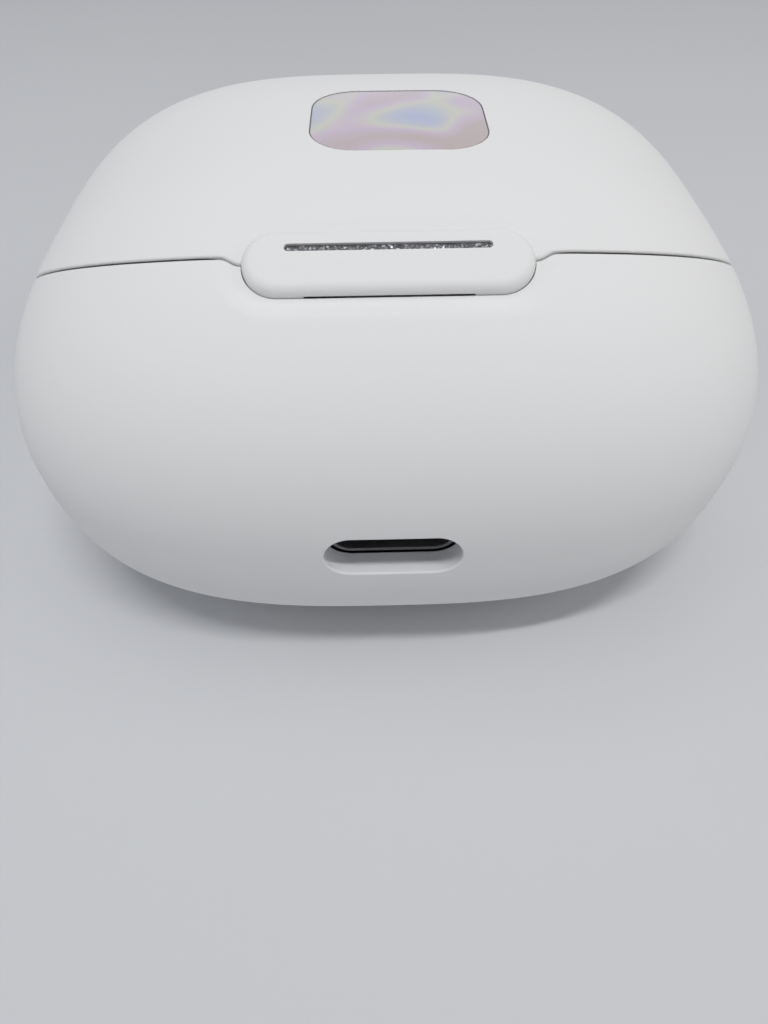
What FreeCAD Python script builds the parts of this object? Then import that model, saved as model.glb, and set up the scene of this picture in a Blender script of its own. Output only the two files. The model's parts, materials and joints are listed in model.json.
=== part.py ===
import FreeCAD, Part
import math
import os

os.makedirs("parts", exist_ok=True)
V = FreeCAD.Vector

# Outside shape of the closed pebble
half_width = 30.0
half_depth = 26.5
crown_up = 17.4
crown_down = 15.4
outline_front = 3.4
outline_back = 2.95
crown_power = 2.6
belly_power = 3.6
crown_edge = 2.05
belly_edge = 2.8
foot_cut = 0.25
mid_z = crown_down - foot_cut

# Walls and clearances
wall = 1.5
seat_gap = 0.15
split_gap = 0.12
part_gap = 0.05

# Split between lid and base: a slope behind, level in front
split_lean = math.radians(37.0)
split_over_hinge = 0.596
split_front_z = -1.0
split_round = 14.0

# Hinge: centre line, cover, pocket, knuckle
hinge_back = 11.51
hinge_sink = 0.7
cover_tilt = math.radians(25.0)
cover_length = 18.0
cover_height = 4.4
cover_top = 0.8
cover_under = 0.5
cover_round = 0.65
pocket_radius = 2.35
pin_radius = 0.3
knuckle_radius = 0.5
knuckle_half = 5.0
leaf_thick = 0.4
leaf_reach = 5.4

# Charging port
port_width = 9.4
port_height = 3.75
port_depth = 1.8
port_rise = 0.2
board_drop = 2.5
socket_width = 8.94
socket_height = 3.26
socket_length = 7.35
socket_skin = 0.3

# Bud wells
cup_x = 13.5
cup_y = 8.0
cup_radius = 7.6
cup_deep = 10.6
cup_round = 4.0
stem_x = 10.0
stem_front = 3.0
stem_radius = 3.3
stem_depth = 2.9
trough_round = 2.0
well_wall = 1.0
deck_drop = 0.6
deck_thick = 1.3


def meridian(angle, side, edge):
    """Point of the rounded profile, outward and upward shares, at an angle."""
    c = math.cos(angle)
    s = math.sin(angle)
    low = 0.0
    high = 2.0
    for step in range(60):
        mid = (low + high) / 2
        if (mid * s) ** edge + (mid * c) ** side < 1:
            low = mid
        else:
            high = mid
    return low * c, low * s


def outline_radius(angle, inset):
    """Distance from the centre to the outline seen from above."""
    a = half_width - inset
    b = half_depth - inset
    power = outline_front if math.sin(angle) > 0 else outline_back
    c = abs(math.cos(angle)) / a
    s = abs(math.sin(angle)) / b
    return 1.0 / (c ** power + s ** power) ** (1.0 / power)


def pebble(inset):
    """Closed pebble, every face brought in by the inset."""
    around = 40
    rise = 11
    angles = [math.pi / 2 + 2 * math.pi * i / around for i in range(around + 1)]
    rings = []
    for j in range(-rise, rise + 1):
        turn = math.pi / 2 * j / rise
        up = crown_up - inset if j > 0 else crown_down - inset
        side = crown_power if j > 0 else belly_power
        edge = crown_edge if j > 0 else belly_edge
        if abs(j) == rise:
            q, h = 0.0, 1.0
        else:
            q, h = meridian(abs(turn), side, edge)
        z = mid_z + (h * up if j > 0 else -h * up)
        rings.append((q, z))
    rows = []
    form = None
    for q, z in rings:
        points = []
        if q == 0.0:
            rows.append(z)
            continue
        for angle in angles[:-1]:
            r = q * outline_radius(angle, inset)
            points.append(V(r * math.cos(angle), r * math.sin(angle), z))
        curve = Part.BSplineCurve()
        curve.interpolate(Points=points, PeriodicFlag=True, Parameters=[float(i) for i in range(around + 1)])
        form = curve
        rows.append(curve.getPoles())
    count = len(rows[1])
    rows[0] = [V(0, 0, rows[0])] * count
    rows[-1] = [V(0, 0, rows[-1])] * count
    columns = []
    shape_line = None
    for k in range(count):
        line = Part.BSplineCurve()
        line.interpolate(Points=[row[k] for row in rows], Parameters=[float(i) for i in range(len(rows))])
        shape_line = line
        columns.append(line.getPoles())
    surface = Part.BSplineSurface()
    surface.buildFromPolesMultsKnots(
        columns, form.getMultiplicities(), shape_line.getMultiplicities(),
        form.getKnots(), shape_line.getKnots(), True, False, 3, 3)
    solid = Part.Solid(Part.Shell([surface.toShape()]))
    if solid.Volume < 0:
        solid.reverse()
    return solid


def box(x0, x1, y0, y1, z0, z1):
    return Part.makeBox(x1 - x0, y1 - y0, z1 - z0, V(x0, y0, z0))


def split_body(gap, width=40.0):
    """Everything above the split, moved up from it by the gap."""
    s = math.sin(split_lean)
    c = math.cos(split_lean)
    yc = (split_reach + split_round - c * (split_front_z + split_round)) / s
    zc = split_front_z + split_round
    r = split_round - gap
    t1 = (yc - r * s, zc - r * c)
    half = split_lean / 2
    tm = (yc - r * math.sin(half), zc - r * math.cos(half))
    t2 = (yc, zc - r)
    far = 40.0
    start = (t1[0] - far * c, t1[1] + far * s)
    pts = [V(-width, y, z + mid_z) for y, z in (start, t1, tm, t2, (45, t2[1]), (45, 60), (start[0], 60))]
    edges = [Part.makeLine(pts[0], pts[1]), Part.Arc(pts[1], pts[2], pts[3]).toShape()]
    edges.append(Part.makeLine(pts[3], pts[4]))
    edges.append(Part.makeLine(pts[4], pts[5]))
    edges.append(Part.makeLine(pts[5], pts[6]))
    edges.append(Part.makeLine(pts[6], pts[0]))
    return Part.Face(Part.Wire(edges)).extrude(V(2 * width, 0, 0))


def slope_z(y, depth=0.0):
    """Height of the sloping part of the split, less a depth square to it."""
    s = math.sin(split_lean)
    c = math.cos(split_lean)
    return mid_z + (split_reach - depth - s * y) / c


# Local directions at the hinge: out of the cover, and up along it to the lid
out = V(0, -math.sin(cover_tilt), math.cos(cover_tilt))
along = V(0, math.cos(cover_tilt), math.sin(cover_tilt))
slope_up = V(0, -math.cos(split_lean), math.sin(split_lean))
slope_out = V(0, math.sin(split_lean), math.cos(split_lean))


back_y = -half_depth
hinge_y = back_y + hinge_back


def crown_z(y):
    q = abs(y) / half_depth
    return mid_z + crown_up * (1 - q ** crown_power) ** (1 / crown_edge)


hinge = V(0, hinge_y, crown_z(hinge_y)) - out * hinge_sink
split_reach = (hinge - V(0, 0, mid_z)).dot(slope_out) + split_over_hinge


def local(x, v, u):
    """Point in the hinge's own directions."""
    return hinge + V(x, 0, 0) + along * v + out * u


def local_box(x0, x1, v0, v1, u0, u1):
    pts = [local(x0, v0, u0), local(x1, v0, u0), local(x1, v1, u0), local(x0, v1, u0)]
    return Part.Face(Part.makePolygon(pts + [pts[0]])).extrude(out * (u1 - u0))


def pill_wire(length, height, u, lift=0.0):
    """Rounded-end outline lying in the cover's plane."""
    r = height / 2
    h = length / 2 - r
    a = local(-h, r + lift, u)
    b = local(h, r + lift, u)
    c = local(h + r, lift, u)
    d = local(h, -r + lift, u)
    e = local(-h, -r + lift, u)
    f = local(-h - r, lift, u)
    return Part.Wire([Part.makeLine(a, b), Part.Arc(b, c, d).toShape(), Part.makeLine(d, e), Part.Arc(e, f, a).toShape()])


def pill(length, height, u0, u1, lift=0.0):
    return Part.Face(pill_wire(length, height, u0, lift)).extrude(out * (u1 - u0))


def capsule(radius):
    """Round-ended roller about the hinge line."""
    h = (cover_length - cover_height) / 2
    rod = Part.makeCylinder(radius, 2 * h, local(-h, 0, 0), V(1, 0, 0))
    return rod.fuse([Part.makeSphere(radius, local(-h, 0, 0)), Part.makeSphere(radius, local(h, 0, 0))])


def roller(radius, half):
    return Part.makeCylinder(radius, 2 * half, local(-half, 0, 0), V(1, 0, 0))


def save(shape, name):
    shape.exportStep("parts/" + name + ".step")


# The outside body, flat underneath
outer = pebble(0.0).common(box(-40, 40, -40, 40, 0, 60))
inner = pebble(wall).common(box(-40, 40, -40, 40, wall, 60))
fitted = pebble(wall + seat_gap).common(box(-40, 40, -40, 40, wall + seat_gap, 60))

# Soft dish round the hinge cover, fading out into the shell
dish_steps = [(0.30, 0.10), (0.55, 0.17), (0.95, 0.40), (1.35, 0.62), (1.75, 0.72), (2.6, 1.3)]
dish_wires = []
for grow, level in dish_steps:
    dish_wires.append(pill_wire(cover_length + 2 * grow, cover_height + 2 * grow, level))
dish = Part.makeLoft(dish_wires, True, False)
outer = outer.cut(dish)

# Port recess: a rounded-end tunnel through the back wall
port_z = mid_z + port_rise
main_z = port_z - board_drop


def port_pill(width, height, y0, y1):
    r = height / 2
    h = width / 2 - r
    face = Part.Face(Part.Wire([
        Part.makeLine(V(-h, y0, port_z + r), V(h, y0, port_z + r)),
        Part.Arc(V(h, y0, port_z + r), V(h + r, y0, port_z), V(h, y0, port_z - r)).toShape(),
        Part.makeLine(V(h, y0, port_z - r), V(-h, y0, port_z - r)),
        Part.Arc(V(-h, y0, port_z - r), V(-h - r, y0, port_z), V(-h, y0, port_z + r)).toShape()]))
    return face.extrude(V(0, y1 - y0, 0))


socket_face = back_y + port_depth

# Lid tab that dips to the ends of the hinge cover
tab_half = 10.9
tab_low = 0.18
tab_top = 3.3
tab_steps = [(0.18, 0.0), (0.47, 0.1), (0.74, 0.42), (1.0, 0.62)]


def tab(gap, u0, u1):
    low = tab_low - gap
    inner_half = cover_length / 2
    side = tab_half - inner_half
    pts = [local(-inner_half, low, u0), local(inner_half, low, u0)]
    end = [local(inner_half + share * side, low + lift, u0) for share, lift in tab_steps]
    curve = Part.BSplineCurve()
    curve.interpolate([pts[1]] + end)
    left = [local(-inner_half - share * side, low + lift, u0) for share, lift in tab_steps]
    mirror = Part.BSplineCurve()
    mirror.interpolate([pts[0]] + left)
    a = local(tab_half, tab_top, u0)
    b = local(-tab_half, tab_top, u0)
    wire = Part.Wire([Part.makeLine(pts[0], pts[1]), curve.toShape(), Part.makeLine(end[-1], a),
                      Part.makeLine(a, b), Part.makeLine(b, left[-1]), mirror.toShape()])
    return Part.Face(wire).extrude(out * (u1 - u0))


# Lid: shell wall above the split, with a block that carries the cover
lid_side = split_body(split_gap / 2)
tab_block = tab(0.0, -1.6, 3.0).common(outer)
lid_shell = outer.cut(inner).common(lid_side).fuse(tab_block)
lid_shell = lid_shell.cut(pill(cover_length + 2 * part_gap, cover_height + 2 * part_gap, -cover_under - part_gap, 4.0))
lid_shell = lid_shell.cut(local_box(-knuckle_half - 0.7, knuckle_half + 0.7, -1.0, 0.95, -2.2, 0.5))
lid_shell = lid_shell.cut(roller(0.9, cover_length / 2 - 0.4))

# Inlay plate let into the top of the lid
inlay_wide = 12.6
inlay_deep = 10.4
inlay_x = 1.1
inlay_y = 0.5
inlay_thick = 0.5


def inlay_prism(grow, z0, z1):
    w = inlay_wide / 2 + grow
    d = inlay_deep / 2 + grow
    flat = box(inlay_x - w, inlay_x + w, inlay_y - d, inlay_y + d, z0, z1)
    edges = [e for e in flat.Edges if abs(e.Vertexes[0].Z - e.Vertexes[-1].Z) > 0.1]
    return flat.makeFillet(min(w, d) * 0.62, edges)


top_z = mid_z + crown_up
inlay_body = inlay_prism(0.0, top_z - 3.0, top_z + 1).common(pebble(0.04)).cut(pebble(0.04 + inlay_thick))
lid_shell = lid_shell.cut(inlay_prism(part_gap, top_z - 3.0, top_z + 1).cut(pebble(0.08 + inlay_thick)))
save(lid_shell, "lid_shell")
save(inlay_body, "lid_inlay")

# Places inside, measured from the front, the back and the wells
catch_x = 7.5
catch_back = half_depth - 7.5
catch_front = half_depth - 4.5
button_y = half_depth - 12.9
post_x = 15.0
post_y = back_y + 10.5
rib_x = 8.0
battery_half = 12.8
battery_back = back_y + 9.7
battery_top = mid_z - 5.0
battery_slope = (split_reach - stem_depth - stem_radius - well_wall + 2.2 * math.cos(split_lean)) / math.sin(split_lean)
battery_front = min(cup_y - cup_radius - well_wall - 2.6, battery_slope)

# Base: shell wall below the split, pocket for the cover, port, posts and ribs
base_side = outer.cut(split_body(-split_gap / 2))
base_shell = base_side.cut(inner)
boss = capsule(pocket_radius + 0.8).common(pebble(0.3)).cut(split_body(-0.3))
boss = boss.cut(local_box(-20, 20, 0.25, 9, -9, 9))
mount_block = local_box(-6.4, 6.4, 0.25, 1.5, -5.8, -2.3).cut(split_body(-0.35))
base_shell = base_shell.fuse([boss, mount_block])
base_shell = base_shell.fuse(port_pill(port_width + 2.2, port_height + 2.2, back_y + 0.9, socket_face - 0.02).common(pebble(0.4)))
posts = []
for sx in (-1, 1):
    posts.append(Part.makeCylinder(1.6, main_z - wall + 0.5, V(sx * post_x, post_y, wall - 0.5)))
posts.append(box(-3.0, 3.0, button_y - 1.4, button_y, wall - 0.5, mid_z - 6.25))
posts.append(box(-3.0, 3.0, catch_back, catch_back + 1.2, wall - 0.5, mid_z - 6.25))
for sx in (-1, 1):
    posts.append(box(sx * rib_x - 0.8, sx * rib_x + 0.8, battery_back + 0.3, battery_front - 0.3, wall - 0.5, mid_z - 11.55))
base_shell = base_shell.fuse([p.common(pebble(0.5)) for p in posts])
base_shell = base_shell.cut(capsule(pocket_radius))
base_shell = base_shell.cut(tab(split_gap, -1.75, 4.0))
base_shell = base_shell.cut(roller(0.42, cover_length / 2 + 1.3))
base_shell = base_shell.cut(local_box(-knuckle_half - 0.15, knuckle_half + 0.15, -leaf_thick / 2 - 0.03, leaf_thick / 2, -leaf_reach - 0.1, 0))
base_shell = base_shell.cut(port_pill(port_width, port_height, back_y - 2, socket_face + 1))
for sx in (-1, 1):
    base_shell = base_shell.cut(Part.makeCylinder(0.5, 3.0, V(sx * post_x, post_y, main_z - 2.9)))
    base_shell = base_shell.cut(Part.makeCylinder(0.5, 1.15, local(sx * 3.2, 0.2, -4.4), along))
light_z = mid_z - 4.9
light_hole = Part.makeCylinder(0.85, 5.0, V(0, half_depth - 4, light_z), V(0, 1, 0))
base_shell = base_shell.cut(light_hole)
save(base_shell, "base_shell")

# Status light pipe, flush with the front wall
pipe = Part.makeCylinder(0.8, 5.0, V(0, half_depth - 2.95, light_z), V(0, 1, 0)).common(pebble(0.02))
save(pipe, "status_light_pipe")

# Hinge cover with its hollow for the knuckle and the leaf
cover = pill(cover_length, cover_height, -cover_under, cover_top)
rim = []
for edge in cover.Edges:
    if all(abs((p.Point - hinge).dot(out) - cover_top) < 0.01 for p in edge.Vertexes):
        rim.append(edge)
cover = cover.makeFillet(cover_round, rim)
hollow = roller(knuckle_radius + 0.06, knuckle_half + 0.2)
hollow = hollow.fuse(local_box(-knuckle_half - 0.2, knuckle_half + 0.2, -3, 0.4, -2, leaf_thick / 2 + 0.07))
cover = cover.cut(hollow)
cover = cover.cut(roller(pin_radius + 0.03, cover_length / 2 - 0.8))
strip_lift = 0.8
strip_long = cover_length - 4.8
strip_high = 0.52
strip_floor = 0.36
cover = cover.cut(pill(strip_long, strip_high, strip_floor, 2.0, strip_lift))
save(cover, "hinge_cover")
save(pill(strip_long - 0.06, strip_high - 0.06, strip_floor, cover_top - 0.18, strip_lift), "hinge_strip")

# Steel knuckle and leaf screwed under the base's mounting block
bracket = roller(knuckle_radius, knuckle_half)
bracket = bracket.fuse(local_box(-knuckle_half, knuckle_half, -leaf_thick / 2, leaf_thick / 2, -leaf_reach, -0.2))
bracket = bracket.cut(roller(pin_radius, knuckle_half + 1))
for sx in (-1, 1):
    bracket = bracket.cut(Part.makeCylinder(0.52, 2, local(sx * 3.2, -1, -4.4), along))
save(bracket, "hinge_bracket")
save(roller(pin_radius, cover_length / 2 - 0.95), "hinge_pin")


def screw(point, direction, shank, length, head, head_high):
    """Small screw: head against the direction, shank along it."""
    body = Part.makeCylinder(shank, length + 0.01, point - direction * 0.01, direction)
    cap = Part.makeCylinder(head, head_high, point - direction * head_high, direction)
    drive = Part.makeBox(head * 1.2, head * 0.28, 0.2)
    drive.translate(V(-head * 0.6, -head * 0.14, -0.1))
    drive.Placement = FreeCAD.Placement(point - direction * head_high, FreeCAD.Rotation(V(0, 0, 1), direction)).multiply(drive.Placement)
    return body.fuse(cap).cut(drive)


pair = [screw(local(sx * 3.2, -leaf_thick / 2, -4.4), along, 0.48, 1.4, 0.9, 0.45) for sx in (-1, 1)]
save(Part.makeCompound(pair), "bracket_screws")

# Cradle tray: deck under the split, two cups and two stem troughs
stem_rear = hinge.y + 6.4
deck_top = split_body(-deck_drop)
deck_low = split_body(-deck_drop - deck_thick)
keep_out = capsule(pocket_radius + 1.05).fuse([
    local_box(-6.8, 6.8, -1.4, 2.2, -6.2, 2.0), local_box(-tab_half - 0.4, tab_half + 0.4, -3.5, 1.5, -2.0, 4.0)])


def trough(grow):
    """Long rounded channels for the stems, running up the slope."""
    r = stem_radius + grow
    shapes = []
    for sx in (-1, 1):
        sink = slope_out * (stem_depth + stem_radius + grow)
        low = V(sx * stem_x, stem_front, slope_z(stem_front)) - sink
        high = V(sx * stem_x, stem_rear, slope_z(stem_rear)) - sink
        side = V(r, 0, 0)
        wire = Part.Wire([Part.makeLine(low - side, high - side), Part.Arc(high - side, high + slope_up * r, high + side).toShape(),
                          Part.makeLine(high + side, low + side), Part.Arc(low + side, low - slope_up * r, low - side).toShape()])
        channel = Part.Face(wire).extrude(slope_out * 15)
        floor = [e for e in channel.Edges if abs((e.CenterOfMass - low).dot(slope_out)) < 0.01]
        shapes.append(channel.makeFillet(trough_round, floor))
    return shapes


def cups(grow, top):
    """Round wells for the heads of the buds."""
    shapes = []
    for sx in (-1, 1):
        foot = V(sx * cup_x, cup_y, mid_z - cup_deep - grow)
        well = Part.makeCylinder(cup_radius + grow, top, foot)
        floor = [e for e in well.Edges if abs(e.CenterOfMass.z - foot.z) < 0.01]
        shapes.append(well.makeFillet(cup_round, floor))
    return shapes


bowls = cups(well_wall, 24.0)
walls = bowls[0].fuse(bowls[1:] + trough(well_wall))
deck = fitted.cut(deck_top)
tray = deck.common(deck_low)
tray = tray.fuse(deck.common(walls))
closure = [box(sx * catch_x - 3.2, sx * catch_x + 3.2, catch_back - 0.7, catch_front + 1.2, mid_z - 4.6, mid_z - 1.9)
           for sx in (-1, 1)]
tray = tray.fuse([b.common(fitted) for b in closure])
hollows = cups(0.0, 24.0) + trough(0.0)
tray = tray.cut(hollows[0].fuse(hollows[1:]))
tray = tray.cut(keep_out)
magnet_pockets = [box(sx * catch_x - 2.55, sx * catch_x + 2.55, catch_back - 0.05, catch_front + 0.05, mid_z - 5.0, mid_z - 2.55)
                  for sx in (-1, 1)]
tray = tray.cut(magnet_pockets[0].fuse(magnet_pockets[1]))

# Pairing button: round cap through the deck onto a small switch
button_radius = 2.4
button_top = mid_z + split_front_z - deck_drop + 0.15
tray = tray.cut(Part.makeCylinder(button_radius + 0.08, 6, V(0, button_y, mid_z - 6)))

# Charging pins: two in the floor of each trough
pin_spots = []
for sx, side in ((-1, "left"), (1, "right")):
    for y, row in ((stem_rear + 6.3, "front"), (stem_rear + 3.1, "rear")):
        foot = V(sx * stem_x, y, slope_z(y)) - slope_out * (stem_depth + stem_radius)
        pin_spots.append((foot, side + "_" + row))
barrel_radius = 0.75
for foot, name in pin_spots:
    tray = tray.cut(Part.makeCylinder(barrel_radius + 0.03, 4, foot - slope_out * 3, slope_out))
save(tray, "cradle_tray")

barrels = []
for foot, name in pin_spots:
    body = Part.makeCylinder(barrel_radius, 2.3, foot - slope_out * 2.2, slope_out)
    body = body.cut(Part.makeCylinder(0.48, 2.3, foot - slope_out * 1.8, slope_out))
    barrels.append(body)
    head = Part.makeCylinder(0.45, 1.7, foot - slope_out * 1.1, slope_out)
    tip = [e for e in head.Edges if (e.CenterOfMass - foot).dot(slope_out) > 0.55]
    save(head.makeFillet(0.2, tip), "contact_pin_" + name)
save(Part.makeCompound(barrels), "contact_barrels")

# Flexible strip that joins the four barrels underneath
strip_depth = stem_depth + stem_radius + 2.22
f0 = V(-12.0, stem_rear + 7.7, slope_z(stem_rear + 7.7)) - slope_out * strip_depth
f1 = V(-12.0, stem_rear + 1.7, slope_z(stem_rear + 1.7)) - slope_out * strip_depth
quad = [f0, f1, f1 + V(24, 0, 0), f0 + V(24, 0, 0)]
flex = Part.Face(Part.makePolygon(quad + [quad[0]])).extrude(slope_out * -0.25)
save(flex, "contact_flex")

cap = Part.makeCylinder(button_radius, 1.75, V(0, button_y, button_top - 1.75))
cap = cap.makeFillet(0.3, [e for e in cap.Edges if e.CenterOfMass.z > button_top - 0.01])
save(cap, "pairing_button")
board_z = mid_z - 6.2
switch = box(-1.9, 1.9, button_y - 1.9, button_y + 1.9, board_z + 0.82, board_z + 2.0)
stem = Part.makeCylinder(1.0, button_top - 1.75 - 0.05 - (board_z + 2.0) - 0.4, V(0, button_y, board_z + 2.0))
save(switch.fuse(stem), "button_switch")
save(box(-4.1, 4.1, button_y - 3.0, catch_front, board_z, board_z + 0.8), "front_board")
save(box(-0.9, 0.9, catch_front + 0.05, catch_front + 1.45, light_z - 0.5, light_z + 0.5).fuse(
    box(-0.9, 0.9, catch_front - 1.0, catch_front + 0.1, board_z + 0.82, light_z + 0.5)), "status_light")
save(box(-3.6, -2.2, catch_back - 0.8, catch_back + 0.8, board_z + 0.82, board_z + 1.5), "lid_sensor")

# Main board, its parts, the charging socket
board = box(-16.8, 16.8, back_y + 6.2, back_y + 17.1, main_z, main_z + 0.8)
board = board.fuse(box(-6.2, 6.2, back_y + 3.1, back_y + 6.3, main_z, main_z + 0.8))
for sx in (-1, 1):
    board = board.cut(Part.makeCylinder(0.6, 2, V(sx * post_x, post_y, main_z - 0.5)))
save(board.removeSplitter(), "main_board")
chip_list = [(-11.0, 10.5, 4.0, 4.0, 0.9), (9.5, 11.9, 3.2, 3.2, 0.8), (-6.5, 14.9, 2.4, 1.8, 0.7),
             (11.0, 7.9, 2.0, 1.2, 0.9), (-9.0, 7.5, 1.6, 0.9, 0.8), (6.8, 15.1, 1.6, 1.0, 0.8)]
chips = [box(x - w / 2, x + w / 2, back_y + y - d / 2, back_y + y + d / 2, main_z + 0.82, main_z + 0.82 + h)
         for x, y, w, d, h in chip_list]
save(Part.makeCompound(chips), "board_chips")
screws = [screw(V(sx * post_x, post_y, main_z + 0.82), V(0, 0, -1), 0.48, 2.8, 1.1, 0.5) for sx in (-1, 1)]
save(Part.makeCompound(screws), "board_screws")
shell = port_pill(socket_width, socket_height, socket_face + 0.05, socket_face + socket_length)
bore = port_pill(socket_width - 2 * socket_skin, socket_height - 2 * socket_skin, socket_face - 1, socket_face + 6.0)
save(shell.cut(bore), "charging_socket")
tongue = box(-3.3, 3.3, socket_face + 1.0, socket_face + 5.95, port_z - 0.35, port_z + 0.35)
save(tongue, "socket_tongue")
contacts = []
for k in range(6):
    x = -2.5 + k
    for z in (port_z + 0.36, port_z - 0.41):
        contacts.append(box(x - 0.2, x + 0.2, socket_face + 1.3, socket_face + 5.0, z, z + 0.05))
save(Part.makeCompound(contacts), "socket_contacts")

# Battery on a foam pad over two ribs
pad_half = battery_half - 0.3
save(box(-pad_half, pad_half, battery_back + 0.3, battery_front - 0.3, mid_z - 11.5, mid_z - 11.2), "battery_pad")
cell = box(-battery_half, battery_half, battery_back, battery_front, mid_z - 11.15, battery_top)
cell = cell.makeFillet(0.8, cell.Edges)
save(cell, "battery_cell")

# Magnets: two under the cups, two pairs that hold the lid shut
bud = [Part.makeCylinder(2.5, 1.65, V(sx * (cup_x - 4.0), cup_y - 3.0, wall + 0.1)) for sx in (-1, 1)]
save(Part.makeCompound(bud), "bud_magnets")
low = [box(sx * catch_x - 2.5, sx * catch_x + 2.5, catch_back, catch_front, mid_z - 4.4, mid_z - 2.6) for sx in (-1, 1)]
save(Part.makeCompound(low), "base_magnets")

# Lid liner: thin skin inside the lid with room for the buds
lid_inside = pebble(wall + seat_gap).common(split_body(0.5))
liner = lid_inside.cut(pebble(wall + seat_gap + 0.9))
rim_band = lid_inside.cut(split_body(1.5))
liner = liner.fuse(rim_band)
catch = [box(sx * catch_x - 3.3, sx * catch_x + 3.3, catch_back - 0.7, catch_front + 1.6, mid_z - 0.4, mid_z + 2.6)
         for sx in (-1, 1)]
liner = liner.fuse([b.common(lid_inside) for b in catch])
room = cups(0.6, 30.0) + trough(0.6)
liner = liner.cut(room[0].fuse(room[1:]).common(pebble(wall + seat_gap + 0.9)))
liner = liner.cut(box(-6.5, 6.5, -6.0, button_y + 2.4, mid_z - 3, mid_z + 11).common(pebble(wall + seat_gap + 0.9)))
liner = liner.cut(capsule(pocket_radius + 0.5)).cut(local_box(-tab_half - 0.3, tab_half + 0.3, -2.0, 3.6, -2.4, 2.0))
slots = [box(sx * catch_x - 2.55, sx * catch_x + 2.55, catch_back - 0.05, catch_front + 0.05, mid_z + 0.15, mid_z + 6.0)
         for sx in (-1, 1)]
liner = liner.cut(slots[0].fuse(slots[1]))
save(liner, "lid_liner")
high = [box(sx * catch_x - 2.5, sx * catch_x + 2.5, catch_back, catch_front, mid_z + 0.2, mid_z + 2.0) for sx in (-1, 1)]
save(Part.makeCompound(high), "lid_magnets")

# Report of the main figures
for name in sorted(os.listdir("parts")):
    made = Part.Shape()
    made.read("parts/" + name)
    print(name, len(made.Solids), made.isValid(), round(made.Volume, 2), [round(v, 2) for v in (
        made.BoundBox.XMin, made.BoundBox.XMax, made.BoundBox.YMin, made.BoundBox.YMax, made.BoundBox.ZMin, made.BoundBox.ZMax)])
print("hinge", hinge)
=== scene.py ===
import json
import math
import bpy
import bmesh
import numpy as np
from mathutils import Matrix, Vector


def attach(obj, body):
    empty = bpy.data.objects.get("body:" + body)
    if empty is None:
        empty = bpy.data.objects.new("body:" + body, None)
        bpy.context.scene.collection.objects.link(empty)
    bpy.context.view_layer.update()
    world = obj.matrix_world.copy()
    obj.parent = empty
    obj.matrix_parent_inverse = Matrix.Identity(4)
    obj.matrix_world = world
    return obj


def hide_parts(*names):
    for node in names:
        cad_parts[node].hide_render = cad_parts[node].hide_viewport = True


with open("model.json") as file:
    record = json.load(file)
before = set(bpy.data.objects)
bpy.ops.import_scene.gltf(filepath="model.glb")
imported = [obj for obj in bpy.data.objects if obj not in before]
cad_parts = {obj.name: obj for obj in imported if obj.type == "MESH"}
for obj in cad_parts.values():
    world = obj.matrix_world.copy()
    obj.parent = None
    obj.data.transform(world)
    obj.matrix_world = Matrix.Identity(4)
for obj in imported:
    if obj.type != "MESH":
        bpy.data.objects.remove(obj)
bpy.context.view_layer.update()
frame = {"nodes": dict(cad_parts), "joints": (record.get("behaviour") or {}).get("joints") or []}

# Camera: a telephone held close over the hinge side, looking down at the back
# of the case. The lens is the wide one of a telephone, upright frame.
mm = 0.001
frame_high, lens_pixels, sensor_high = 1024, 662.64, 24.0
eye = Vector((-1.012, -51.884, 52.254)) * mm
gaze = Vector((0.00974, 0.62293, -0.78222)).normalized()
roll = -0.00898
level = Vector((gaze.y, -gaze.x, 0)).normalized()
above = level.cross(gaze)
camera = bpy.data.objects.new("camera", bpy.data.cameras.new("camera"))
bpy.context.scene.collection.objects.link(camera)
camera.data.sensor_fit = "VERTICAL"
camera.data.sensor_height = sensor_high
camera.data.lens = sensor_high * lens_pixels / frame_high
camera.data.clip_start = 0.002
side_way = level * math.cos(roll) + above * math.sin(roll)
up_way = above * math.cos(roll) - level * math.sin(roll)
turned = Matrix((side_way, up_way, -gaze)).transposed().to_4x4()
turned.translation = eye
camera.matrix_world = turned
bpy.context.scene.camera = camera
bpy.context.scene.view_settings.view_transform = "Standard"

# Floor and light: a plain pale table top, a narrow bright lamp and a soft one
# overhead, weak ones behind, left and right. Mirrors see a room that is
# brighter than the light it gives.


def node_material(name, colour, rough, metal=0.0):
    made = bpy.data.materials.new(name)
    made.use_nodes = True
    shader = made.node_tree.nodes["Principled BSDF"]
    shader.inputs["Base Color"].default_value = (*colour, 1)
    shader.inputs["Roughness"].default_value = rough
    shader.inputs["Metallic"].default_value = metal
    return made, made.node_tree.nodes, made.node_tree.links, shader


table_top, nodes, links, shader = node_material("table_top", (0.62, 0.63, 0.65), 0.85)
bpy.ops.mesh.primitive_plane_add(size=6.0, location=(0, 0, -0.02 * mm))
floor = bpy.context.object
floor.name = "table"
floor.data.materials.append(table_top)
case_middle = 15 * mm


def lamp(name, place, wide, deep, power, colour=(1, 1, 1)):
    light = bpy.data.lights.new(name, "AREA")
    light.shape = "RECTANGLE"
    light.size, light.size_y = wide, deep
    light.energy = power
    light.color = colour
    made = bpy.data.objects.new(name, light)
    bpy.context.scene.collection.objects.link(made)
    made.location = place
    to_case = Vector((0, 0, case_middle)) - Vector(place)
    made.rotation_euler = to_case.to_track_quat("-Z", "Y").to_euler()


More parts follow.
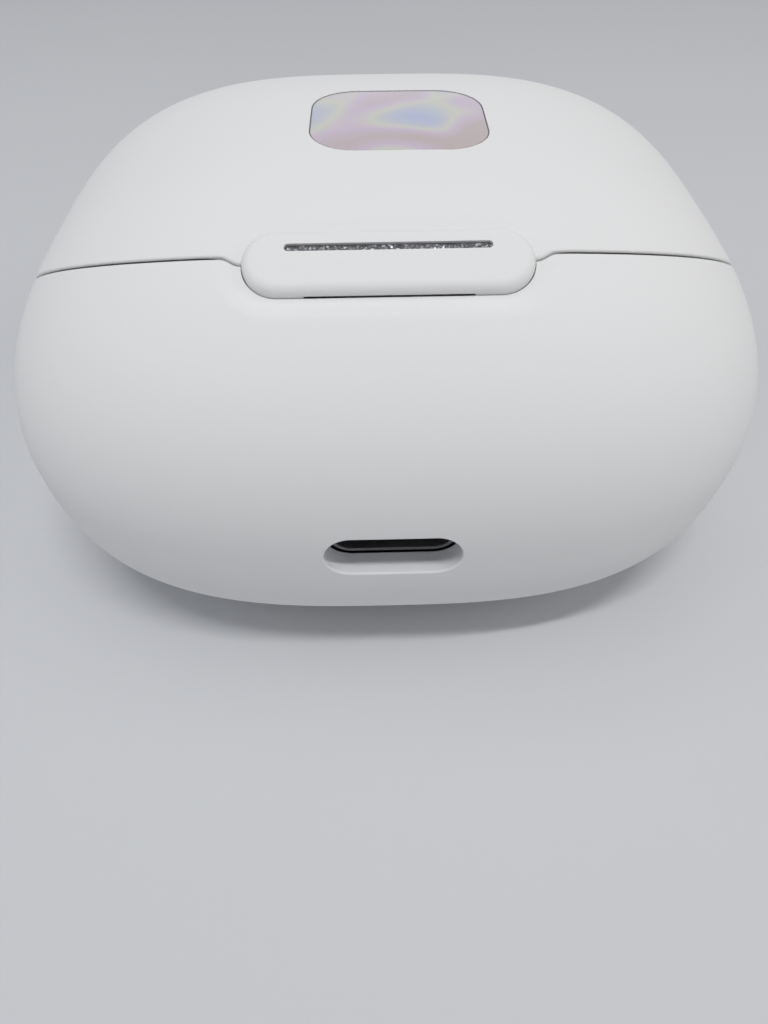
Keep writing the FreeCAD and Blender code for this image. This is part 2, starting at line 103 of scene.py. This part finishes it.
lamp("strip_lamp", (0.02, -0.105, 0.43), 0.20, 0.018, 0.72)
lamp("soft_lamp", (-0.02, 0.06, 0.44), 0.30, 0.30, 0.30)
lamp("low_lamp", (0.033, -0.52, 0.10), 0.13, 0.12, 0.16)
lamp("left_lamp", (-0.34, -0.02, 0.24), 0.28, 0.28, 0.24, (0.93, 0.96, 1.0))
lamp("right_lamp", (0.36, -0.06, 0.24), 0.26, 0.26, 0.30, (1.0, 0.985, 0.95))
world = bpy.data.worlds.new("room")
bpy.context.scene.world = world
world.use_nodes = True
background = world.node_tree.nodes["Background"]
background.inputs["Color"].default_value = (0.93, 0.95, 1.0, 1)
room_as_lamp, room_in_mirrors = 0.22, 0.95
nodes, links = world.node_tree.nodes, world.node_tree.links
ray = nodes.new("ShaderNodeLightPath")
seen = nodes.new("ShaderNodeMath")
through = nodes.new("ShaderNodeMath")
seen.operation = through.operation = "MAXIMUM"
strength = nodes.new("ShaderNodeMapRange")
strength.inputs["To Min"].default_value = room_as_lamp
strength.inputs["To Max"].default_value = room_in_mirrors
links.new(ray.outputs["Is Camera Ray"], seen.inputs[0])
links.new(ray.outputs["Is Glossy Ray"], seen.inputs[1])
links.new(seen.outputs[0], through.inputs[0])
links.new(ray.outputs["Is Transmission Ray"], through.inputs[1])
links.new(through.outputs[0], strength.inputs["Value"])
links.new(strength.outputs["Result"], background.inputs["Strength"])

# Outer shape of the closed case: a fat pebble with a squarish outline, higher
# above its widest line than below, cut by a sloping split that levels in front
# and dips to the ends of the hinge cover.
half_width, half_depth = 30.0 * mm, 26.5 * mm
crown_up, crown_down = 17.4 * mm, 15.4 * mm
outline_front, outline_back = 3.4, 2.95
crown_power, belly_power = 2.6, 3.6
crown_edge, belly_edge = 2.05, 2.8
mid_z = 15.15 * mm
wall = 1.5 * mm
split_lean = math.radians(37.0)
split_reach, split_front, split_round = 3.5 * mm, -1.0 * mm, 14.0 * mm
split_gap = 0.12 * mm
lip_round = 0.20 * mm
cover_tilt = math.radians(25.0)
out = np.array((0, -math.sin(cover_tilt), math.cos(cover_tilt)))
along = np.array((0, math.cos(cover_tilt), math.sin(cover_tilt)))
hinge = np.array(frame["joints"][0]["pos_m"], float)
cover_length, cover_height, cover_top = 18.0 * mm, 4.4 * mm, 0.80 * mm
tab_half, tab_low, tab_climb, tab_end = 10.9 * mm, 0.16 * mm, 1.15 * mm, 9
tab_ease = 0.14 * mm


def pebble(turn, rise, inset=0.0):
    """Points of the pebble: turn goes round it, rise runs from -1 under it to 1 on top."""
    c, s = np.cos(turn), np.sin(turn)
    power = np.where(s > 0, outline_front, outline_back)
    across = np.abs(c / (half_width - inset)) ** power
    deep = np.abs(s / (half_depth - inset)) ** power
    reach = (across + deep) ** (-1 / power)
    tilt = np.abs(rise) * np.pi / 2
    up = rise > 0
    q = np.cos(tilt) ** (2 / np.where(up, crown_power, belly_power))
    h = np.sin(tilt) ** (2 / np.where(up, crown_edge, belly_edge))
    z = mid_z + np.where(up, h * (crown_up - inset), -h * (crown_down - inset))
    return np.stack([reach * q * c, reach * q * s, z], -1)


def smooth(x, low, high):
    t = np.clip((x - low) / (high - low), 0, 1)
    return t * t * (3 - 2 * t)


def lid_side(p):
    """How far a point is on the lid's side of the split."""
    s, c = math.sin(split_lean), math.cos(split_lean)
    y, z = p[..., 1], p[..., 2] - mid_z
    yc = (split_reach + split_round - c * (split_front + split_round)) / s
    zc = split_front + split_round
    slope = s * y + c * z - split_reach
    bow = split_round - np.hypot(y - yc, z - zc)
    turned = np.arctan2(yc - y, np.maximum(zc - z, 1e-6))
    plain = np.where(y > yc, z - split_front, np.where(turned > split_lean, slope, bow))
    d = p - hinge
    x, v = np.abs(d[..., 0]), d @ along
    climb = tab_climb * smooth(x, cover_length / 2 + 0.1 * mm, tab_half + 0.5 * mm)
    tab = v - tab_low - climb - tab_end * np.maximum(x - tab_half - 0.1 * mm, 0)
    blend = (plain + tab + np.sqrt((plain - tab) ** 2 + tab_ease ** 2)) / 2
    at_tab = (y < -10 * mm) & (z > 5 * mm) & (x < tab_half + 0.8 * mm)
    return np.where(at_tab, blend, plain)


def rim_rise(turn, inset, lift):
    """Rise at which the pebble meets the split, moved square to itself by lift."""
    low, high = np.full_like(turn, -1.0), np.full_like(turn, 1.0)
    for step in range(40):
        mid = (low + high) / 2
        over = lid_side(pebble(turn, mid, inset)) > lift
        high = np.where(over, mid, high)
        low = np.where(over, low, mid)
    return (low + high) / 2


def pill_distance(x, v, length, height):
    """Distance outside a round-ended outline."""
    r = height / 2
    h = length / 2 - r
    return np.hypot(np.maximum(np.abs(x) - h, 0), v) - r


dish_floor, dish_near, dish_far = 0.12 * mm, 0.25 * mm, 1.8 * mm


def hinge_dish(p, skin_deep=None):
    """Soft dish round the hinge cover; inner points all sink by the same depth."""
    d = p - hinge
    x, v, u = d[..., 0], d @ along, d @ out
    away = pill_distance(x, v, cover_length, cover_height)
    depth = np.maximum(u - dish_floor, 0) if skin_deep is None else skin_deep
    sink = depth * (1 - smooth(away, dish_near, dish_far))
    near = (u > -3 * mm) & (np.abs(v) < 8 * mm)
    return p - out * (sink * near)[..., None]


fine_turns = np.radians(np.linspace(-132, -48, 301))
coarse_turns = np.radians(np.linspace(-48, 228, 185))[1:-1]
turns = np.concatenate([fine_turns, coarse_turns])

# Moulded shells: satin white plastic, spark-textured with a very fine even
# grain, slightly cool; a faint mould line runs round the widest part.


def noise(nodes, links, place, scale, detail=2.0):
    made = nodes.new("ShaderNodeTexNoise")
    made.inputs["Scale"].default_value = scale
    made.inputs["Detail"].default_value = detail
    links.new(place.outputs["Object"], made.inputs["Vector"])
    return made


def ramp(nodes, links, source, stops):
    made = nodes.new("ShaderNodeValToRGB")
    while len(made.color_ramp.elements) < len(stops):
        made.color_ramp.elements.new(0.5)
    for element, (at, colour) in zip(made.color_ramp.elements, stops):
        element.position = at
        element.color = (*colour, 1)
    links.new(source, made.inputs["Fac"])
    return made


def add_bump(nodes, links, shader, height, strength, distance):
    made = nodes.new("ShaderNodeBump")
    made.inputs["Strength"].default_value = strength
    made.inputs["Distance"].default_value = distance
    links.new(height, made.inputs["Height"])
    links.new(made.outputs["Normal"], shader.inputs["Normal"])
    return made


def moulded(name, colour, rough, grain, depth):
    """Moulded plastic: grain in the bump, a slow drift in colour and gloss."""
    made, nodes, links, shader = node_material(name, colour, rough)
    place = nodes.new("ShaderNodeTexCoord")
    fine_grain = noise(nodes, links, place, grain, 3.0)
    slow = noise(nodes, links, place, 70.0, 2.0)
    dark = tuple(c * 0.965 for c in colour)
    tone = ramp(nodes, links, slow.outputs["Fac"], [(0.3, dark), (0.7, colour)])
    links.new(tone.outputs["Color"], shader.inputs["Base Color"])
    stops = [(0.3, (rough - 0.05,) * 3), (0.7, (rough + 0.07,) * 3)]
    gloss = ramp(nodes, links, fine_grain.outputs["Fac"], stops)
    links.new(gloss.outputs["Color"], shader.inputs["Roughness"])
    add_bump(nodes, links, shader, fine_grain.outputs["Fac"], 0.35, depth)
    return made


shell_white = moulded("shell_white", (0.80, 0.81, 0.825), 0.42, 5200.0, 0.00004)
nodes, links = shell_white.node_tree.nodes, shell_white.node_tree.links
place = nodes.new("ShaderNodeTexCoord")
parts = nodes.new("ShaderNodeSeparateXYZ")
links.new(place.outputs["Object"], parts.inputs[0])
height = nodes.new("ShaderNodeMath")
height.operation = "SUBTRACT"
height.inputs[1].default_value = mid_z
links.new(parts.outputs["Z"], height.inputs[0])
away = nodes.new("ShaderNodeMath")
away.operation = "ABSOLUTE"
links.new(height.outputs[0], away.inputs[0])
line = nodes.new("ShaderNodeMapRange")
line.inputs["From Max"].default_value = 0.06 * mm
links.new(away.outputs[0], line.inputs["Value"])
shader = nodes["Principled BSDF"]
grain_bump = shader.inputs["Normal"].links[0].from_node
line_bump = add_bump(nodes, links, shader, line.outputs["Result"], 0.5, 0.03 * mm)
links.new(grain_bump.outputs["Normal"], line_bump.inputs["Normal"])

# Lid: one moulded shell, open below, its lip eased where it meets the base; a
# seat for the hinge cover is sunk in its back edge, a well for the inlay in
# its top.


def tidy_normals(obj, sharp=32.0):
    work = bmesh.new()
    work.from_mesh(obj.data)
    bmesh.ops.recalc_face_normals(work, faces=work.faces)
    work.to_mesh(obj.data)
    work.free()
    obj.data.shade_smooth()
    obj.data.set_sharp_from_angle(angle=math.radians(sharp))


def solid(name, points, faces):
    mesh = bpy.data.meshes.new(name)
    mesh.from_pydata(np.asarray(points).tolist(), [], faces)
    made = bpy.data.objects.new(name, mesh)
    bpy.context.scene.collection.objects.link(made)
    tidy_normals(made)
    return made


def skin(name, rings, first, last):
    """Closed mesh from rings of points, ending in a point at each end."""
    count = len(rings[0])
    points = np.concatenate([np.array([first])] + rings + [np.array([last])])
    faces = [(0, 1 + k, 1 + (k + 1) % count) for k in range(count)]
    for j in range(len(rings) - 1):
        a, b = 1 + j * count, 1 + (j + 1) * count
        faces += [(a + k, b + k, b + (k + 1) % count, a + (k + 1) % count) for k in range(count)]
    end, a = len(points) - 1, 1 + (len(rings) - 1) * count
    faces += [(end, a + (k + 1) % count, a + k) for k in range(count)]
    return solid(name, points, faces)


def cut(obj, *tools, how="DIFFERENCE"):
    """Takes the tools away from the object, or joins them to it, and removes them."""
    for tool in tools:
        step = obj.modifiers.new("cut", "BOOLEAN")
        step.operation = how
        step.solver = "MANIFOLD"
        step.object = tool
        bpy.context.view_layer.update()
        evaluated = obj.evaluated_get(bpy.context.evaluated_depsgraph_get())
        done = bpy.data.meshes.new_from_object(evaluated)
        obj.modifiers.clear()
        old, obj.data = obj.data, done
        bpy.data.meshes.remove(old)
        bpy.data.objects.remove(tool)
    tidy_normals(obj)


def local(x, v, u):
    return hinge + np.array((x, 0, 0)) + along * v + out * u


def prism(name, outline, start, way, depth):
    """Straight solid from a list of points, pushed along a direction."""
    base = [np.array(p) + np.array(way) * start for p in outline]
    tip = [np.array(p) + np.array(way) * (start + depth) for p in outline]
    count = len(base)
    faces = [tuple(range(count)), tuple(range(2 * count - 1, count - 1, -1))]
    faces += [(k, (k + 1) % count, count + (k + 1) % count, count + k) for k in range(count)]
    return solid(name, base + tip, faces)


def pill_points(length, height, steps=40):
    """Round-ended outline as flat pairs, going once round."""
    r = height / 2
    h = length / 2 - r
    straight = np.linspace(-h, h, 25)
    pairs = [(x, r) for x in straight[:-1]]
    pairs += [(h + r * math.sin(a), r * math.cos(a)) for a in np.linspace(0, math.pi, steps)[:-1]]
    pairs += [(-x, -r) for x in straight[:-1]]
    pairs += [(-h - r * math.sin(a), -r * math.cos(a)) for a in np.linspace(0, math.pi, steps)[:-1]]
    return pairs


lid_gap = split_gap / 2
hinge_skin, lip_step = 0.58 * mm, 0.8 * mm
rings = []
top_outer = rim_rise(turns, 0.0, lid_gap + lip_round)
for t in np.linspace(0.012, 1, 120):
    rings.append(hinge_dish(pebble(turns, 1 - (1 - top_outer) * t)))
for a in np.radians((22, 45, 68, 90)):
    inset, lift = lip_round * (1 - math.cos(a)), lid_gap + lip_round * (1 - math.sin(a))
    p = pebble(turns, rim_rise(turns, 0.0, lift))
    rings.append(hinge_dish(p) + (pebble(turns, rim_rise(turns, inset, lift), inset) - p))
top_inner = rim_rise(turns, wall, lid_gap)
rings.append(hinge_dish(pebble(turns, rim_rise(turns, lip_step, lid_gap), lip_step), hinge_skin))
for t in np.linspace(1, 0.02, 60):
    rings.append(hinge_dish(pebble(turns, 1 - (1 - top_inner) * t, wall), hinge_skin))
lid_skin = skin("lid_skin", rings, (0, 0, mid_z + crown_up), (0, 0, mid_z + crown_up - wall))
seat_play, seat_deep = 0.1 * mm, 0.55 * mm
seat = [local(x, v, 0) for x, v in pill_points(cover_length + seat_play, cover_height + seat_play)]
inlay_wide, inlay_deep, inlay_corner = 12.6 * mm, 10.4 * mm, 3.22 * mm
inlay_centre = np.array((1.1, 0.5)) * mm
inlay_sink, inlay_gap = 0.62 * mm, 0.10 * mm


def inlay_outline(grow, steps=12):
    """Rounded oblong round the inlay plate, grown by a margin."""
    w, d, r = inlay_wide / 2 + grow, inlay_deep / 2 + grow, inlay_corner + grow
    pairs = []
    for k, (sx, sy) in enumerate(((1, 1), (-1, 1), (-1, -1), (1, -1))):
        turn = np.linspace(k, k + 1, steps) * math.pi / 2
        pairs += [(sx * (w - r) + r * math.cos(a), sy * (d - r) + r * math.sin(a)) for a in turn]
    return np.array(pairs) + inlay_centre


def crown_surface(flat, inset=0.0):
    """Points of the lid's top, brought in by the inset, over flat pairs."""
    x, y = flat[:, 0], flat[:, 1]
    power = np.where(y > 0, outline_front, outline_back)
    across = (np.abs(x) / (half_width - inset)) ** power
    deep = (np.abs(y) / (half_depth - inset)) ** power
    q = (across + deep) ** (1 / power)
    z = mid_z + (crown_up - inset) * (1 - q ** crown_power) ** (1 / crown_edge)
    return np.stack([x, y, z], -1)


edge = inlay_outline(inlay_gap)
well = np.concatenate([crown_surface(edge, inlay_sink), crown_surface(edge) + (0, 0, 2 * mm)])
count = len(edge)
faces = [(k, (k + 1) % count, count + (k + 1) % count, count + k) for k in range(count)]
faces += [tuple(range(count)), tuple(range(2 * count - 1, count - 1, -1))]
cut(lid_skin, prism("seat", seat, -seat_deep, out, 5 * mm), solid("inlay_well", well, faces))
lid_skin.data.materials.append(shell_white)
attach(lid_skin, "lid")
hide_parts("lid_shell")

# Base: the deeper shell with a flat foot, the port recess in its back wall and
# a round pocket that takes the lower half of the hinge cover as the lid opens.


def block(name, x0, x1, v0, v1, u0, u1):
    corners = [local(x0, v0, 0), local(x1, v0, 0), local(x1, v1, 0), local(x0, v1, 0)]
    return prism(name, corners, u0, out, u1 - u0)


def lathe(name, pairs, steps=72):
    """Solid turned about the hinge line, from pairs of place and radius."""
    points, faces = [], []
    for x, r in pairs:
        points += [hinge + np.array((x, r * math.cos(a), r * math.sin(a)))
                   for a in np.linspace(0, 2 * math.pi, steps, endpoint=False)]
    for j in range(len(pairs) - 1):
        for k in range(steps):
            a, b = j * steps + k, j * steps + (k + 1) % steps
            faces.append((a, b, b + steps, a + steps))
    faces.append(tuple(range(steps - 1, -1, -1)))
    faces.append(tuple(range((len(pairs) - 1) * steps, len(pairs) * steps)))
    return solid(name, points, faces)


def capsule(name, radius):
    h = (cover_length - cover_height) / 2
    pairs = [(-h - radius * math.cos(a), radius * math.sin(a)) for a in np.linspace(0.03, math.pi / 2, 16)]
    pairs += [(-x, r) for x, r in reversed(pairs)]
    return lathe(name, pairs)


rings = []
base_gap = -split_gap / 2
low_inner = rim_rise(turns, wall, base_gap)
for t in np.linspace(0.02, 1, 70):
    p = pebble(turns, -1 + (1 + low_inner) * t, wall)
    p[..., 2] = np.maximum(p[..., 2], wall)
    rings.append(hinge_dish(p, hinge_skin))
rings.append(hinge_dish(pebble(turns, rim_rise(turns, lip_step, base_gap), lip_step), hinge_skin))
for a in np.radians((90, 68, 45, 22)):
    inset, lift = lip_round * (1 - math.cos(a)), base_gap - lip_round * (1 - math.sin(a))
    p = pebble(turns, rim_rise(turns, 0.0, lift))
    rings.append(hinge_dish(p) + (pebble(turns, rim_rise(turns, inset, lift), inset) - p))
low_outer = rim_rise(turns, 0.0, base_gap - lip_round)
shares = np.concatenate([np.linspace(0, 0.16, 60)[:-1], np.linspace(0.16, 0.985, 110)])
for t in shares:
    p = hinge_dish(pebble(turns, low_outer + (-1 - low_outer) * t))
    p[..., 2] = np.maximum(p[..., 2], 0.0)
    rings.append(p)
base_skin = skin("base_skin", rings, (0, 0, wall), (0, 0, 0))
pocket_radius, pocket_wall = 2.27 * mm, 0.8 * mm
port_wide, port_high, port_soft = 9.4 * mm, 3.75 * mm, 0.15 * mm
port_floor, port_z = -24.7 * mm, mid_z + 0.2 * mm
collar_wall, collar_front = 0.9 * mm, -25.3 * mm


def back_surface(x, z):
    """Where the back wall stands at a place across and a height."""
    dz = z - mid_z
    up = dz > 0
    h = np.abs(dz) / np.where(up, crown_up, crown_down)
    q = (1 - h ** np.where(up, crown_edge, belly_edge)) ** (1 / np.where(up, crown_power, belly_power))
    left = q ** outline_back - np.abs(x / half_width) ** outline_back
    return -half_depth * left ** (1 / outline_back)


flat = np.array(pill_points(port_wide, port_high))
straight = (port_wide - port_high) / 2
normal = np.stack([flat[:, 0] - np.clip(flat[:, 0], -straight, straight), flat[:, 1]], -1)
normal /= np.linalg.norm(normal, axis=1)[:, None]
collar = []
for a in np.radians(np.linspace(0, 90, 9)):
    pair = flat + normal * port_soft * (1 - math.sin(a))
    y = back_surface(pair[:, 0], port_z + pair[:, 1]) + port_soft * (1 - math.cos(a))
    y += 0.004 * mm * (a == 0)
    collar.append(np.stack([pair[:, 0], y, port_z + pair[:, 1]], -1))
thick = flat + normal * collar_wall
for pair, y in ((flat, port_floor), (thick, port_floor), (thick, collar_front)):
    collar.append(np.stack([pair[:, 0], 0 * flat[:, 0] + y, port_z + pair[:, 1]], -1))
wide = flat + normal * (port_soft - 0.001 * mm)
count = len(flat)
faces = [(j + k, j + (k + 1) % count, j + count + (k + 1) % count, j + count + k)
         for j in range(0, (len(collar) - 1) * count, count) for k in range(count)]
port_collar = solid("port_collar", np.concatenate(collar), faces)
port_collar.data.materials.append(shell_white)
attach(port_collar, "base")
opening = [(x, 0, port_z + z) for x, z in wide]
boss = capsule("boss", pocket_radius + pocket_wall)
far = 9 * mm
cut(boss, block("above", -2 * far, 2 * far, -far, far, -0.35 * mm, far),
    block("beyond", -2 * far, 2 * far, 0.25 * mm, far, -far, far))
cut(base_skin, boss, how="UNION")
cut(base_skin, prism("port", opening, -30 * mm, (0, 1, 0), 12 * mm), capsule("pocket", pocket_radius))
base_skin.data.materials.append(shell_white)
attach(base_skin, "base")
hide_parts("base_shell")

# Hinge cover: polished white pill let into the lid, its lower half free over
# the pocket; a narrow slot holds a strip of dark metal.
cover_under, cover_round = 0.5 * mm, 0.66 * mm
cover_gloss = moulded("cover_gloss", (0.82, 0.83, 0.845), 0.12, 1500.0, 0.000003)
shader = cover_gloss.node_tree.nodes["Principled BSDF"]
shader.inputs["Coat Weight"].default_value = 0.5
shader.inputs["Coat Roughness"].default_value = 0.05


def cover_ring(shrink, u, steps=44):
    outline = pill_points(cover_length - 2 * shrink, cover_height - 2 * shrink, steps)
    return np.array([local(x, v, u) for x, v in outline])


inner_shrink, under_edge = 2.0 * mm, 0.15 * mm
rings = [cover_ring(inner_shrink, -cover_under), cover_ring(under_edge, -cover_under),
         cover_ring(0, -cover_under + under_edge)]
for a in np.radians(np.linspace(0, 90, 14)):
    rings.append(cover_ring(cover_round * (1 - math.cos(a)), cover_top - cover_round * (1 - math.sin(a))))
crowning = 0.015
for shrink in np.linspace(cover_round + 0.12 * mm, inner_shrink, 9):
    rings.append(cover_ring(shrink, cover_top + crowning * (shrink - cover_round)))
cover_peak = local(0, 0, cover_top + 0.022 * mm)
cover = skin("hinge_cover_pill", rings, local(0, 0, -cover_under), cover_peak)
strip_lift, strip_high, strip_floor = 0.80 * mm, 0.52 * mm, 0.36 * mm
strip_long = cover_length - 5.3 * mm
knuckle_radius, knuckle_half, leaf_thick = 0.5 * mm, 5.0 * mm, 0.4 * mm
room = knuckle_half + 0.2 * mm
slot_outline = [local(x, v + strip_lift, 0) for x, v in pill_points(strip_long, strip_high, 16)]
cut(cover, prism("slot", slot_outline, strip_floor, out, 2 * mm),
    block("leaf_room", -room, room, -3 * mm, 0.4 * mm, -2 * mm, leaf_thick / 2 + 0.03 * mm),
    lathe("knuckle_room", [(x, knuckle_radius + 0.06 * mm) for x in (-room, room)]),
    lathe("pin_room", [(x, 0.33 * mm) for x in (-8.2 * mm, 8.2 * mm)]))
cover.data.materials.append(cover_gloss)
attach(cover, "lid")
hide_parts("hinge_cover")

# Slot strip: bead-blasted dark metal, its grain in the bump; a few small bright points in its colour are
# painted glints standing in for sparkle. It lies a little below the cover's face.
strip_metal, nodes, links, shader = node_material("strip_metal", (0.10, 0.10, 0.11), 0.42, 0.85)
place = nodes.new("ShaderNodeTexCoord")
blast_and_glints = nodes.new("ShaderNodeTexVoronoi")
blast_and_glints.inputs["Scale"].default_value = 9500.0
links.new(place.outputs["Object"], blast_and_glints.inputs["Vector"])
# Painted glints: the brightest cells of this colour ramp stand in for sparkle on the metal.
tone = ramp(nodes, links, blast_and_glints.outputs["Color"], [
    (0.0, (0.025, 0.025, 0.028)), (0.55, (0.07, 0.07, 0.075)),
    (0.80, (0.22, 0.22, 0.23)), (0.97, (0.62, 0.62, 0.64))])
links.new(tone.outputs["Color"], shader.inputs["Base Color"])
add_bump(nodes, links, shader, blast_and_glints.outputs["Distance"], 0.6, 0.00002)
strip_play, strip_under, strip_below = 0.06 * mm, 0.02 * mm, 0.18 * mm
strip_pill = pill_points(strip_long - strip_play, strip_high - strip_play, 16)
strip_outline = [local(x, v + strip_lift, 0) for x, v in strip_pill]
strip_start, strip_end = strip_floor + strip_under, cover_top - strip_below
strip = prism("slot_strip", strip_outline, strip_start, out, strip_end - strip_start)
strip.data.materials.append(strip_metal)
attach(strip, "lid")
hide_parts("hinge_strip")

# Inlay plate: thin mirror-bright plate let into the top, with a faint play of colour;
# a thin dark ring fills the gap round it, painted shade standing in for the shade in the gap.
inlay_mirror, nodes, links, shader = node_material("inlay_mirror", (0.8, 0.78, 0.82), 0.13, 1.0)
place = nodes.new("ShaderNodeTexCoord")
drift = noise(nodes, links, place, 170.0, 0.0)
drift.inputs["Distortion"].default_value = 0.4
play = ramp(nodes, links, drift.outputs["Fac"], [
    (0.30, (0.42, 0.47, 0.66)), (0.42, (0.50, 0.52, 0.57)), (0.50, (0.60, 0.59, 0.50)),
    (0.58, (0.58, 0.48, 0.57)), (0.70, (0.52, 0.44, 0.42))])
links.new(play.outputs["Color"], shader.inputs["Base Color"])
brushed = noise(nodes, links, place, 2400.0, 2.0)
add_bump(nodes, links, shader, brushed.outputs["Fac"], 0.15, 0.000004)
frame["nodes"]["lid_inlay"].data.materials.clear()
frame["nodes"]["lid_inlay"].data.materials.append(inlay_mirror)
# Painted shade: a dark ring set into the gap round the inlay, where shade falls.
painted_gap_shade = moulded("painted_gap_shade", (0.10, 0.10, 0.11), 0.5, 2500.0, 0.000004)
inner, outer = inlay_outline(0.0), inlay_outline(inlay_gap)
shade_ring_top_sink, shade_ring_foot_sink = 0.05 * mm, 0.5 * mm
shade_ring_points = [crown_surface(inner, shade_ring_top_sink), crown_surface(outer, shade_ring_top_sink),
        crown_surface(outer, shade_ring_foot_sink), crown_surface(inner, shade_ring_foot_sink)]
count = len(edge)
starts = [0, count, 2 * count, 3 * count, 0]
faces = [(a + k, a + (k + 1) % count, b + (k + 1) % count, b + k)
         for a, b in zip(starts, starts[1:]) for k in range(count)]
painted_shade_ring = solid("inlay_bond_line", np.concatenate(shade_ring_points), faces)
painted_shade_ring.data.materials.append(painted_gap_shade)
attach(painted_shade_ring, "lid")

# Inner pieces that the closed case hides: each keeps its solid and takes the
# finish of the real piece.
tray_white = moulded("tray_white", (0.78, 0.79, 0.805), 0.48, 4200.0, 0.00003)
black_plastic = moulded("black_plastic", (0.028, 0.028, 0.030), 0.45, 3000.0, 0.00001)
board_green = moulded("board_green", (0.03, 0.16, 0.07), 0.30, 2600.0, 0.000006)
flex_amber = moulded("flex_amber", (0.42, 0.20, 0.04), 0.28, 1800.0, 0.000004)
pad_foam = moulded("pad_foam", (0.05, 0.05, 0.05), 0.95, 3800.0, 0.00008)
clear_light = moulded("clear_light", (0.90, 0.92, 0.93), 0.20, 2500.0, 0.000004)
lamp_body = moulded("lamp_body", (0.86, 0.80, 0.50), 0.30, 2500.0, 0.000004)


def metal(name, colour, rough, grain):
    made, nodes, links, shader = node_material(name, colour, rough, 1.0)
    place = nodes.new("ShaderNodeTexCoord")
    marks = noise(nodes, links, place, grain, 4.0)
    dark = tuple(c * 0.85 for c in colour)
    tone = ramp(nodes, links, marks.outputs["Fac"], [(0.3, dark), (0.7, colour)])
    links.new(tone.outputs["Color"], shader.inputs["Base Color"])
    add_bump(nodes, links, shader, marks.outputs["Fac"], 0.25, 0.00001)
    return made


steel = metal("plain_steel", (0.60, 0.60, 0.62), 0.30, 2200.0)
socket_steel = metal("socket_steel", (0.33, 0.33, 0.34), 0.34, 2600.0)
gold = metal("gold_plate", (0.92, 0.70, 0.32), 0.20, 2400.0)
foil = metal("cell_foil", (0.68, 0.69, 0.71), 0.35, 900.0)
nickel = metal("nickel", (0.66, 0.65, 0.63), 0.22, 1900.0)
finishes = {
    tray_white: ("cradle_tray", "lid_liner"),
    black_plastic: ("socket_tongue", "board_chips", "lid_sensor", "button_switch"),
    board_green: ("main_board", "front_board"),
    flex_amber: ("contact_flex",),
    pad_foam: ("battery_pad",),
    clear_light: ("status_light_pipe",),
    lamp_body: ("status_light",),
    steel: ("hinge_bracket", "hinge_pin", "bracket_screws", "board_screws"),
    socket_steel: ("charging_socket",),
    gold: ("socket_contacts", "contact_barrels", "contact_pin_left_front", "contact_pin_left_rear",
           "contact_pin_right_front", "contact_pin_right_rear"),
    foil: ("battery_cell",),
    nickel: ("bud_magnets", "base_magnets", "lid_magnets"),
    cover_gloss: ("pairing_button",)}
for finish, names in finishes.items():
    for name in names:
        frame["nodes"][name].data.materials.clear()
        frame["nodes"][name].data.materials.append(finish)


bpy.context.view_layer.update()
